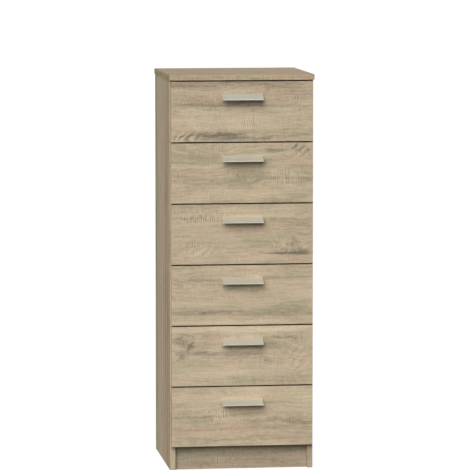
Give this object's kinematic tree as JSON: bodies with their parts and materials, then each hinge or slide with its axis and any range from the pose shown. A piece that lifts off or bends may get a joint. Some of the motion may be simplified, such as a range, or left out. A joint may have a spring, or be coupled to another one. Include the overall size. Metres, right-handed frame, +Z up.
{
  "type": "tall chest of drawers",
  "caption": "Tall narrow chest of drawers in pale sawn-oak laminate on a plinth, with full-width drawer fronts that slide out on side strips and short sloping metal pulls.",
  "frame": {"origin": "on the floor, at the centre of the whole outline seen from above, pulls included", "axes": "+X to the viewer's right when facing the drawers, +Y towards the back (the drawers open towards -Y), +Z up"},
  "size_m": [0.404, 0.4258, 1.1],
  "materials": {
    "oak_fronts": "matt sawn-oak laminate, grain running across",
    "oak_sides": "matt sawn-oak laminate, grain running upright",
    "oak_boards": "matt sawn-oak laminate, grain running across",
    "white_board": "matt white foil on particle board",
    "white_hardboard": "white lacquered hardboard",
    "brown_hardboard": "bare brown hardboard",
    "satin_nickel": "satin nickel plate on die-cast zinc",
    "zinc_steel": "bright zinc plate",
    "runner_plastic": "matt off-white plastic"
  },
  "bodies": {
    "cabinet": {"left_side_panel": "oak_sides", "right_side_panel": "oak_sides", "top_panel": "oak_boards", "bottom_panel": "oak_boards", "plinth": "oak_boards", "rear_rail": "oak_boards", "back_panel": "brown_hardboard", "left_runners": "runner_plastic", "right_runners": "runner_plastic", "runner_screws": "zinc_steel", "cabinet_cams": "zinc_steel", "back_nails": "zinc_steel"},
    "drawer_1": {"drawer_1_front": "oak_fronts", "drawer_1_left_side": "white_board", "drawer_1_right_side": "white_board", "drawer_1_back": "white_board", "drawer_1_bottom": "white_hardboard", "drawer_1_pull": "satin_nickel", "drawer_1_cams": "zinc_steel", "drawer_1_screws": "zinc_steel"},
    "drawer_2": {"drawer_2_front": "oak_fronts", "drawer_2_left_side": "white_board", "drawer_2_right_side": "white_board", "drawer_2_back": "white_board", "drawer_2_bottom": "white_hardboard", "drawer_2_pull": "satin_nickel", "drawer_2_cams": "zinc_steel", "drawer_2_screws": "zinc_steel"},
    "drawer_3": {"drawer_3_front": "oak_fronts", "drawer_3_left_side": "white_board", "drawer_3_right_side": "white_board", "drawer_3_back": "white_board", "drawer_3_bottom": "white_hardboard", "drawer_3_pull": "satin_nickel", "drawer_3_cams": "zinc_steel", "drawer_3_screws": "zinc_steel"},
    "drawer_4": {"drawer_4_front": "oak_fronts", "drawer_4_left_side": "white_board", "drawer_4_right_side": "white_board", "drawer_4_back": "white_board", "drawer_4_bottom": "white_hardboard", "drawer_4_pull": "satin_nickel", "drawer_4_cams": "zinc_steel", "drawer_4_screws": "zinc_steel"},
    "drawer_5": {"drawer_5_front": "oak_fronts", "drawer_5_left_side": "white_board", "drawer_5_right_side": "white_board", "drawer_5_back": "white_board", "drawer_5_bottom": "white_hardboard", "drawer_5_pull": "satin_nickel", "drawer_5_cams": "zinc_steel", "drawer_5_screws": "zinc_steel"},
    "drawer_6": {"drawer_6_front": "oak_fronts", "drawer_6_left_side": "white_board", "drawer_6_right_side": "white_board", "drawer_6_back": "white_board", "drawer_6_bottom": "white_hardboard", "drawer_6_pull": "satin_nickel", "drawer_6_cams": "zinc_steel", "drawer_6_screws": "zinc_steel"}
  },
  "joints": [
    {"name": "drawer_1_slide", "type": "slide", "parent": "cabinet", "child": "drawer_1", "axis": [0, -1, 0], "range_m": [0, 0.25]},
    {"name": "drawer_2_slide", "type": "slide", "parent": "cabinet", "child": "drawer_2", "axis": [0, -1, 0], "range_m": [0, 0.25]},
    {"name": "drawer_3_slide", "type": "slide", "parent": "cabinet", "child": "drawer_3", "axis": [0, -1, 0], "range_m": [0, 0.25]},
    {"name": "drawer_4_slide", "type": "slide", "parent": "cabinet", "child": "drawer_4", "axis": [0, -1, 0], "range_m": [0, 0.25]},
    {"name": "drawer_5_slide", "type": "slide", "parent": "cabinet", "child": "drawer_5", "axis": [0, -1, 0], "range_m": [0, 0.25]},
    {"name": "drawer_6_slide", "type": "slide", "parent": "cabinet", "child": "drawer_6", "axis": [0, -1, 0], "range_m": [0, 0.25]}
  ]
}
